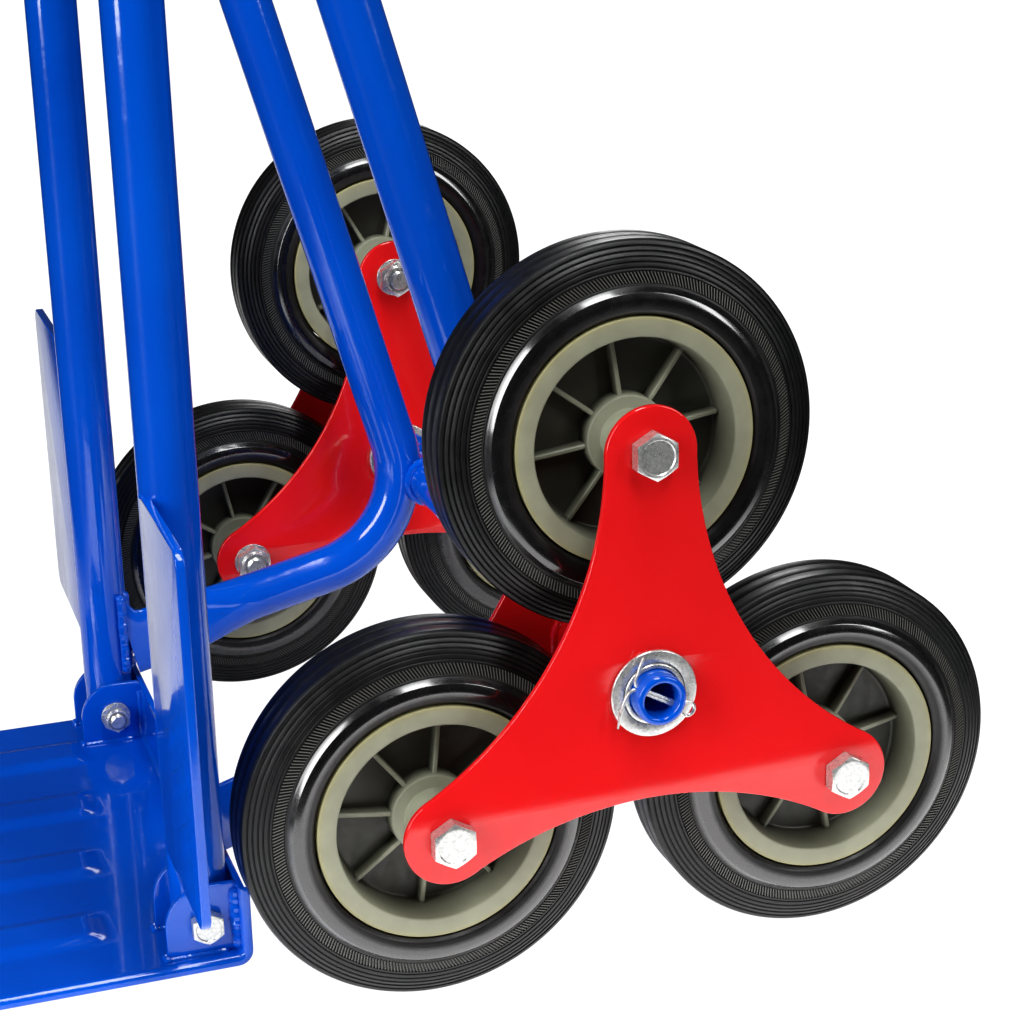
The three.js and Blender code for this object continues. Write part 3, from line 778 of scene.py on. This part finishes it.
def hexagon(flats, x0, x1, chamfer_out=True, chamfer_in=False, bore=0.0, recess=0.0):
    """A hexagon along X whose corners are turned down to a cone at one or both ends."""
    per_side = 8
    sides = 6 * per_side
    inner = flats / 2
    face_r = 0.95 * inner
    angles, reach = [], []
    for k in range(sides):
        a = 2 * math.pi * k / sides
        local = (a + math.pi / 6) % (math.pi / 3) - math.pi / 6
        angles.append(a + math.pi / 2)
        reach.append(inner / math.cos(math.pi / 6 - abs(local)))
    slope = math.tan(math.radians(27))

    def loop(radii, xs):
        return [Vector((x, r * math.cos(a), r * math.sin(a))) for a, r, x in zip(angles, radii, xs)]

    flat = [face_r] * sides
    loops = []
    if chamfer_in:
        loops += [loop(flat, [x0] * sides), loop(reach, [x0 + (r - face_r) * slope for r in reach])]
    else:
        loops += [loop(reach, [x0] * sides)]
    if chamfer_out:
        loops += [loop(reach, [x1 - (r - face_r) * slope for r in reach]), loop(flat, [x1] * sides)]
    else:
        loops += [loop(reach, [x1] * sides)]
    if recess:
        loops.append(loop([0.86 * inner] * sides, [x1] * sides))
        loops.append(loop([0.8 * inner] * sides, [x1 - recess] * sides))
    body = Body()
    if bore:
        loops += [loop([bore] * sides, [x1] * sides), loop([bore] * sides, [x0] * sides)]
        return body.skin(loops, along=True)
    return body.skin(loops, caps=True)


def thread(radius, x0, x1, pitch):
    """A threaded shank: a fine row of crests, ending in a small chamfer."""
    line = [(x0, radius - 0.9, 0), (x0 + 0.9, radius, 0)]
    x = x0 + 0.9
    while x + pitch < x1:
        line += [(x + pitch / 2, radius - 0.5 * pitch, 0), (x + pitch, radius, 0)]
        x += pitch
    line.append((x1, radius, 0))
    return lathe(line, 32, closed=False, caps=True)


def bolt(radius, flats, head, x0, x1):
    """A bolt from the end of its thread at x0 to the underside of its hexagon head at x1."""
    threaded = x0 + 16
    body = hexagon(flats, x1, x1 + head, recess=0.5)
    body.join(lathe([(threaded, radius, 0), (x1 + 0.5, radius, 0)], 32, closed=False, caps=True))
    return body.join(thread(radius, x0, threaded, 1.25))


def lock_nut(radius, flats, x0, x1):
    """A nylon-insert nut with its round collar towards the thread end, and its chamfered hexagon."""
    collar = 0.26 * (x1 - x0)
    body = hexagon(flats, x0 + collar, x1, chamfer_out=False, chamfer_in=True, bore=radius + 0.1)
    body.join(lathe([(x1 - 0.9, 0.58 * flats, 0.3), (x1, 0.58 * flats, 0.3), (x1, radius + 0.1, 0),
                     (x1 - 0.9, radius + 0.1, 0)], 48))
    seat = x0 + collar + 0.6
    dome = lathe([(seat, 0.45 * flats, 0), (x0, 0.44 * flats, 0.9), (x0, 0.36 * flats, 0.4),
                  (x0 + 0.7, 0.34 * flats, 0.3), (x0 + 0.7, radius + 0.15, 0), (seat, radius + 0.15, 0)], 48)
    return body.join(dome)


# ----------------- star plates and sleeves

def star_outline():
    """Three arms with round tips, joined by hollow arcs."""
    tip_r, hollow, waist = 19.3, 204.0, 46.5
    line = []
    for arm in range(3):
        arm_a = math.pi / 2 + arm * 2 * math.pi / 3
        side_a = arm_a + math.pi / 3
        tip = Vector((math.cos(arm_a), math.sin(arm_a))) * bolt_circle
        centre = Vector((math.cos(side_a), math.sin(side_a))) * hollow
        to = centre - tip
        facing = math.atan2(to.y, to.x)
        sweep = (facing - arm_a + math.pi) % (2 * math.pi) - math.pi
        line += arc(tip, tip_r, arm_a - sweep, arm_a + sweep, 40)
        back = facing + math.pi
        half = (side_a + math.pi - back + math.pi) % (2 * math.pi) - math.pi
        line += arc(centre, hollow - waist, back, back + 2 * half, 40)[1:-1]
    return line


star_holes = [round_hole((0, 0), 13.3, 48)]
for arm in range(3):
    a = math.pi / 2 + arm * 2 * math.pi / 3
    star_holes.append(round_hole((bolt_circle * math.cos(a), bolt_circle * math.sin(a)), 5.3))
star = star_outline()

for side, sign in SIDES:
    body = f"{side}_cluster"
    for which, x0, weld_x in (("outer", outer_plate_x, outer_plate_x - 1.2),
                              ("inner", inner_plate_x, inner_plate_x + plate_thick + 1.2)):
        sheet = plate(star, star_holes, x0, x0 + plate_thick, 0.75).moved(y=axle_y, z=axle_z)
        show(f"{side}_{which}_plate", sheet.for_side(sign), red, body,
             [f"{side}_{which}_star_plate"])
        bead = ring_weld((weld_x, axle_y, axle_z), 18.6, 1.8, 300 + len(which) + sign)
        show(f"{side}_{which}_plate_weld", bead.for_side(sign), red, body)
    sleeve = tube_lathe(inner_plate_x + 3.2, outer_plate_x - 0.2, 18, 13.3, 64, 0.4).moved(y=axle_y, z=axle_z)
    show(f"{side}_sleeve", sleeve.for_side(sign), red, body, [f"{side}_centre_sleeve"])
    bush = lathe([(143.5, 18.5, 0.6), (146.7, 18.5, 0.6), (146.7, 13, 0.3), (218.9, 13, 1.0),
                  (218.9, 10.95, 0.5), (143.5, 10.95, 0.5)], 64, steps=4).moved(y=axle_y, z=axle_z)
    show(f"{side}_bush", bush.for_side(sign), zinc, body, [f"{side}_axle_bush"])

# ----------------- wheels

def wall_x(radius):
    """Half width of the tyre's outer wall at a radius."""
    if radius > 73:
        return 10.5 + (80 - radius) / 7 * 3.3
    return 13.8 + (73 - radius) / 10.2 * 2.5


def tyre_body():
    """A solid tyre: grooved tread and walls, and a band of slanting ridges on each wall."""
    half = [(3.6, 80, 0), (3.9, 79.75, 0), (4.2, 80, 0), (9.6, 80, 1.0), (wall_x(79.3) + 0.1, 79.3, 0.5)]
    for groove in (77.5, 75.5, 73.5, 71.5, 69.4):
        x = wall_x(groove)
        half += [(x, groove + 0.4, 0.15), (x - 0.5, groove + 0.12, 0.1), (x - 0.5, groove - 0.12, 0.1),
                 (x + 0.1, groove - 0.4, 0.15)]
    half += [(wall_x(68.3) + 0.1, 68.3, 0.2), (wall_x(68) - 0.5, 68.0, 0.1), (wall_x(63.5) - 0.5, 63.5, 0.1),
             (wall_x(63.2) + 0.2, 63.2, 0.2), (wall_x(62.6) + 0.2, 62.5, 0.3), (17.2, 61.9, 0.4),
             (18.9, 60.4, 1.2), (20.0, 57.5, 5.0), (19.0, 53.0, 1.8), (17.6, 51.6, 0.6), (16.5, 51.35, 0)]
    profile = half[::-1] + [(-x, r, e) for x, r, e in half]
    body = lathe(profile, 168, closed=True, steps=3)
    ridges = 300
    slant = 0.016
    ridge_faces = [(0, 1, 5, 4), (1, 2, 6, 5), (2, 3, 7, 6), (3, 0, 4, 7), (0, 3, 2, 1), (4, 5, 6, 7)]
    for sign in (1, -1):
        for k in range(ridges):
            a = 2 * math.pi * k / ridges
            corners = []
            for r, shift in ((63.6, -slant), (67.9, slant)):
                for du, dx in ((-0.44, -0.65), (-0.16, 0.3), (0.16, 0.3), (0.44, -0.65)):
                    angle = a + shift + du / r
                    x = sign * (wall_x(r) + dx)
                    corners.append(Vector((x, r * math.cos(angle), r * math.sin(angle))))
            body.add(corners, ridge_faces, smooth=False)
    return body


def hub_body():
    """A rim, a thin web and a long boss, stiffened by eight ribs on both faces."""
    body = lathe([(1.5, 16.0, 0), (1.5, 40.6, 1.4), (18.5, 42.6, 0.9), (18.5, 50.7, 0.8),
                  (-18.5, 50.7, 0.8), (-18.5, 42.6, 0.9), (-1.5, 40.6, 1.4), (-1.5, 16.0, 0)], 128, steps=4)
    boss = [(31.2, 11.5, 0.6), (9.7, 11.7, 0.5), (9.7, 17.3, 0.8), (0, 17.8, 0), (-9.7, 17.3, 0.8),
            (-9.7, 11.7, 0.5), (-31.2, 11.5, 0.6), (-31.2, 7.3, 0.5), (31.2, 7.3, 0.5)]
    body.join(lathe(boss, 72))
    for k in range(8):
        rib = []
        for r, top in ((16.6, 7.6), (24.0, 7.4), (34.0, 6.9), (39.0, 6.6), (41.8, 6.6)):
            thick = 1.25
            slim = 0.95
            section = [(-thick, 0), (-slim, -top + 0.4), (-slim + 0.4, -top), (slim - 0.4, -top),
                       (slim, -top + 0.4), (thick, 0), (slim, top - 0.4), (slim - 0.4, top),
                       (-slim + 0.4, top), (-slim, top - 0.4)]
            rib.append([Vector((x, r, t)) for t, x in section])
        body.join(Body().skin(rib, caps=True).turned(2 * math.pi * k / 8))
    return body


tyre_mesh = tyre_body().mesh("tyre", sharp=40)
hub_mesh = hub_body().mesh("hub", sharp=40)
spacer_half = 31.5
spacer = tube_lathe(wheel_x - spacer_half, wheel_x + spacer_half, 7, 5.5, 32, 0.3)
wheel_bolt = bolt(*M10, 6.4, 135.2, outer_plate_x + 3.3)
wheel_nut = lock_nut(*M10, 137.2, 146.7)
tyre_mesh.materials.append(tyre_rubber)
hub_mesh.materials.append(hub_plastic)
rib_phase = {"right_top": 8, "right_front": 38, "right_rear": 11,
             "left_top": 30, "left_front": 12, "left_rear": 38}

for side, sign in SIDES:
    for place, degrees in PLACES:
        arm = math.radians(degrees)
        centre = (sign * wheel_x, axle_y + bolt_circle * math.cos(arm), axle_z + bolt_circle * math.sin(arm))
        name = f"{side}_{place}"
        for part, shape, slot, cad in (("ribbed_tyre", tyre_mesh, "tyre_rubber", "tyre"),
                                       ("spoked_hub", hub_mesh, "hub_plastic", "hub")):
            turned = shape.copy()
            turned.transform(Matrix.Rotation(math.radians(rib_phase[name]), 4, "X"))
            show(f"{name}_{part}", turned, None, f"{name}_wheel", [f"{name}_{cad}"], centre)
        for part, shape, cad in (("spacer", spacer, "spacer_tube"), ("bolt", wheel_bolt, "wheel_bolt"),
                                 ("nut", wheel_nut, "wheel_nut")):
            copy = Body().join(shape).for_side(sign).moved(0, centre[1], centre[2])
            show(f"{name}_{part}", copy, zinc, f"{side}_cluster", [f"{name}_{cad}"])

# ----------------- toe plate

toe_half = 144.0
toe_top = 5.0
toe_front = upright_y - 204.1
flange_front = tube_r + 1.2
toe_back = upright_y + flange_front + plate_thick
flange_top = hinge_z + 17.5 - 0.6
ear_r = 17.5


def toe_rib_height(x, y):
    height = 0.0
    for step, longer in ((-1.5, 12), (-0.5, 7), (0.5, -1), (1.5, -9)):
        across = 1 - ease(abs(x - 64 * step), 8, 17)
        front, back = toe_front + 16, upright_y - 27 + longer
        along = ease(y, front, front + 12) * (1 - ease(y, back - 12, back))
        height = max(height, 2.6 * across * along)
    return height


def toe_sheet():
    """The pressed plate: ribs along its depth, sides turned down and its rear edge turned up."""
    bend = 3.2
    across = [(toe_half, 0.4), (toe_half, toe_top - bend)]
    across += [(toe_half - bend + bend * math.cos(a), toe_top - bend + bend * math.sin(a))
               for a in [math.radians(15 * k) for k in range(1, 7)]]
    inner = toe_half - bend
    count = 150
    across += [(inner - 2 * inner * k / count, toe_top) for k in range(1, count)]
    across += [(-x, z) for x, z in across[7::-1]]
    floor_end = toe_back - 5
    rise = 2.0
    height = flange_top - toe_top
    count = 100
    along = [(toe_front + (floor_end - toe_front) * k / count, 0.0, 0.0) for k in range(count + 1)]
    along += [(floor_end + rise * math.sin(a), rise * (1 - math.cos(a)), a)
              for a in [math.radians(15 * k) for k in range(1, 7)]]
    along += [(floor_end + rise, rise + (height - rise) * k / 8, math.pi / 2) for k in range(1, 9)]
    rows = []
    for y, up, lean in along:
        rows.append([Vector((x, y - (z - toe_top) * math.sin(lean),
                             toe_top + up + (z - toe_top) * math.cos(lean) + toe_rib_height(x, y)))
                     for x, z in across])
    n = len(across)
    body = Body()
    points = [p for row in rows for p in row]
    faces = [[i * n + j, i * n + j + 1, (i + 1) * n + j + 1, (i + 1) * n + j]
             for i in range(len(rows) - 1) for j in range(n - 1)]
    body.add(points, faces)
    return body


def solid_sheet(body, name, thickness, edge):
    """Gives a sheet its thickness below the surface drawn, and rounds its cut edges."""
    mesh = bpy.data.meshes.new(name)
    mesh.from_pydata([p * MM for p in body.points], [], body.faces)
    work = bmesh.new()
    work.from_mesh(mesh)
    bmesh.ops.recalc_face_normals(work, faces=work.faces)
    work.normal_update()
    middle = min(work.faces, key=lambda f: (f.calc_center_median() - Vector((0, -0.2, 0.005))).length)
    if middle.normal.z < 0:
        bmesh.ops.reverse_faces(work, faces=work.faces)
    work.normal_update()
    top = list(work.verts)
    below = {}
    for v in top:
        below[v] = work.verts.new(v.co - v.normal * thickness * MM)
    faces = list(work.faces)
    for f in faces:
        work.faces.new([below[v] for v in reversed(f.verts)])
    for e in [e for e in work.edges if e.is_boundary and e.verts[0] in below and e.verts[1] in below]:
        loop = e.link_loops[0]
        a, b = loop.vert, loop.link_loop_next.vert
        work.faces.new([b, a, below[a], below[b]])
    for f in work.faces:
        f.smooth = True
    work.normal_update()
    sharp = [e for e in work.edges if len(e.link_faces) == 2 and e.calc_face_angle() > math.radians(60)]
    bmesh.ops.bevel(work, geom=sharp, offset=edge * MM, segments=2, affect="EDGES", profile=0.5)
    work.to_mesh(mesh)
    work.free()
    mesh.set_sharp_from_angle(angle=math.radians(40))
    return mesh


def toe_ear(x0):
    """A steel ear that stands on the toe plate and carries the hinge bolt."""
    back = upright_y + flange_front + 1.0
    top = hinge_z + ear_r
    line = arc((upright_y, hinge_z), ear_r, math.pi / 2, math.pi, 24)
    line += [Vector((upright_y - ear_r, 4.0)), Vector((back, 4.0))]
    line += [Vector(p) for p in rounded([(back, 4.0), (back, top, 3.0), (upright_y, top)], steps=5)[1:-1]]
    return plate(line, [round_hole((upright_y, hinge_z), 4.3)], x0, x0 + plate_thick, 0.6)


def ear_welds(x0, seed):
    beads = Body()
    corner = toe_back - plate_thick
    for k, x in enumerate((x0 - 0.1, x0 + plate_thick + 0.1)):
        line = [(x, upright_y - ear_r - 0.5 + 1.6 * i, toe_top + 0.2) for i in range(18)]
        beads.join(weld(line, 1.4, seed + k, rough=0.3))
        lump = [(x, upright_y - ear_r - 2.0 + i, toe_top + 0.4) for i in range(5)]
        beads.join(weld(lump, 2.0, seed + 5 + k))
    line = [(x0 + plate_thick + 1.0, corner - 0.4, toe_top + 1 + 2 * i) for i in range(15)]
    beads.join(weld(line, 2.9, seed + 3, rough=1.6))
    line = [(x0 - 0.6, corner - 0.2, toe_top + 1 + 2 * i) for i in range(14)]
    return beads.join(weld(line, 1.8, seed + 4, rough=0.6))


toe_mesh = solid_sheet(toe_sheet(), "toe_sheet", plate_thick, 0.7)
show("pressed_toe_plate", toe_mesh, blue, "toe_plate", ["toe_plate"])
ear_inner = upright_x - tube_r - 0.7 - plate_thick
ear_outer = upright_x + tube_r + 0.7
for side, sign in SIDES:
    for which, x0 in (("inner", ear_inner), ("outer", ear_outer)):
        show(f"{side}_{which}_hinge_ear", toe_ear(x0).for_side(sign), blue, "toe_plate")
        show(f"{side}_{which}_ear_weld_beads", ear_welds(x0, 400 + len(which) + sign).for_side(sign), blue,
             "toe_plate")
    hinge_bolt = bolt(*M8, 5.3, ear_inner - 0.3 - 10, ear_outer + 3.3).moved(y=upright_y, z=hinge_z)
    hinge_nut = lock_nut(*M8, ear_inner - 8.3, ear_inner - 0.3).moved(y=upright_y, z=hinge_z)
    show(f"{side}_hinge_bolt_forged", hinge_bolt.for_side(sign), zinc, "frame",
         [f"{side}_hinge_bolt"])
    show(f"{side}_hinge_lock_nut", hinge_nut.for_side(sign), zinc, "frame",
         [f"{side}_hinge_nut"])

# ----------------- studio

def light(name, place, aim, size, power):
    lamp = bpy.data.lights.new(name, "AREA")
    lamp.shape = "RECTANGLE"
    lamp.size, lamp.size_y = size
    lamp.energy = power
    holder = bpy.data.objects.new(name, lamp)
    holder.location = place
    holder.rotation_euler = (Vector(aim) - Vector(place)).to_track_quat("-Z", "Y").to_euler()
    bpy.context.scene.collection.objects.link(holder)


def floor():
    """A seamless white sweep: flat under the object, a long way out on every side. The camera sees it evenly
    white. Other rays see a painted pool of light: a patch of paper round the object that glows, fading
    towards -X, and near-black floor beyond the patch.
    """
    body = Body()
    rings = [0.02, 0.5, 1.0, 2.0, 4.0, 8.0]
    loops = [[Vector((r * 1000 * math.cos(a), r * 1000 * math.sin(a), -0.2))
              for a in [2 * math.pi * k / 48 for k in range(48)]] for r in rings]
    body.skin(loops, caps=False)
    body.faces.append([k for k in range(48)])
    body.smooth.append(False)
    mesh = bpy.data.meshes.new("studio_floor")
    mesh.from_pydata([p * MM for p in body.points], [], body.faces)
    s = Shader("white_studio_floor")
    s.link(s.ramp(s.noise(3.0, 2.0), 0.55, 0.7), s.main.inputs["Roughness"])
    across = s.node("ShaderNodeSeparateXYZ")
    s.link(s.place, across.inputs["Vector"])
    y = across.outputs["Y"]
    paper_glow_patch = s.math("MULTIPLY", s.ramp(across.outputs["X"], 1.0, 0.0, 0.44, 0.48),
                   s.math("MULTIPLY", s.ramp(y, 0.0, 1.0, -0.4, -0.28), s.ramp(y, 1.0, 0.0, 0.36, 0.5)))
    shades = [(0.0, (0.03, 0.03, 0.03, 1)), (1.0, (0.9, 0.9, 0.9, 1))]
    s.link(s.colours(paper_glow_patch, shades), s.main.inputs["Base Color"])
    # Painted light: the paper patch glows, strongest on the +X side and faint at and behind the middle,
    # lighting the object from below and showing in its reflections.
    s.link(s.math("MULTIPLY", paper_glow_patch, s.ramp(across.outputs["X"], 0.06, 1.0, 0.0, 0.2)),
           s.main.inputs["Emission Color"])
    s.set(Specular_IOR_Level=0.1, Emission_Strength=0.8)
    path = s.node("ShaderNodeLightPath")
    white = s.node("ShaderNodeEmission")
    white.inputs["Strength"].default_value = 1.06
    pale = s.node("ShaderNodeBsdfDiffuse")
    sweep = s.node("ShaderNodeMixShader")
    sweep.inputs["Fac"].default_value = 0.16
    s.link(white.outputs["Emission"], sweep.inputs[1])
    s.link(pale.outputs["BSDF"], sweep.inputs[2])
    seen = s.node("ShaderNodeMixShader")
    s.link(path.outputs["Is Camera Ray"], seen.inputs["Fac"])
    s.link(s.main.outputs["BSDF"], seen.inputs[1])
    s.link(sweep.outputs["Shader"], seen.inputs[2])
    s.link(seen.outputs["Shader"], s.tree.nodes["Material Output"].inputs["Surface"])
    mesh.materials.append(s.material)
    plane = bpy.data.objects.new("studio_floor", mesh)
    bpy.context.scene.collection.objects.link(plane)


floor()
light("key_softbox", (1.02, -2.0, 1.1), (0, 0, 0.3), (0.62, 2.0), 44)
light("top_softbox", (0.9, 0.2, 2.2), (0, 0, 0.1), (0.6, 1.8), 34)
light("rear_right_softbox", (1.7, 1.7, 1.3), (0.1, 0, 0.3), (0.4, 1.6), 17)
light("far_side_softbox", (-1.9, 0.9, 1.3), (0, 0, 0.3), (0.5, 1.4), 9)

scene = bpy.context.scene
world = bpy.data.worlds.new("white_studio")
world.use_nodes = True
studio = world.node_tree
backdrop = studio.nodes["Background"]
backdrop.inputs["Color"].default_value = (1, 1, 1, 1)
dim = studio.nodes.new("ShaderNodeMapRange")
dim.inputs["To Min"].default_value = 0.03
dim.inputs["To Max"].default_value = 1.0
studio.links.new(studio.nodes.new("ShaderNodeLightPath").outputs["Is Camera Ray"], dim.inputs["Value"])
studio.links.new(dim.outputs["Result"], backdrop.inputs["Strength"])
scene.world = world
scene.view_settings.view_transform = "Standard"
scene.view_settings.look = "Medium High Contrast"

azimuth, elevation, roll = math.radians(71.5278), math.radians(17.9883), math.radians(-1.3782)
forward = Vector((-math.sin(azimuth) * math.cos(elevation), math.cos(azimuth) * math.cos(elevation),
                  -math.sin(elevation)))
level = Vector((math.cos(azimuth), math.sin(azimuth), 0))
over = level.cross(forward)
right = level * math.cos(roll) + over * math.sin(roll)
up = over * math.cos(roll) - level * math.sin(roll)
camera = bpy.data.cameras.new("camera")
camera.sensor_width = 36.0
camera.lens = 77.14
camera.clip_start = 0.01
holder = bpy.data.objects.new("camera", camera)
holder.matrix_world = Matrix((
    (right.x, up.x, -forward.x, 0.97336), (right.y, up.y, -forward.y, -0.20543),
    (right.z, up.z, -forward.z, 0.47261), (0, 0, 0, 1)))
scene.collection.objects.link(holder)
scene.camera = holder
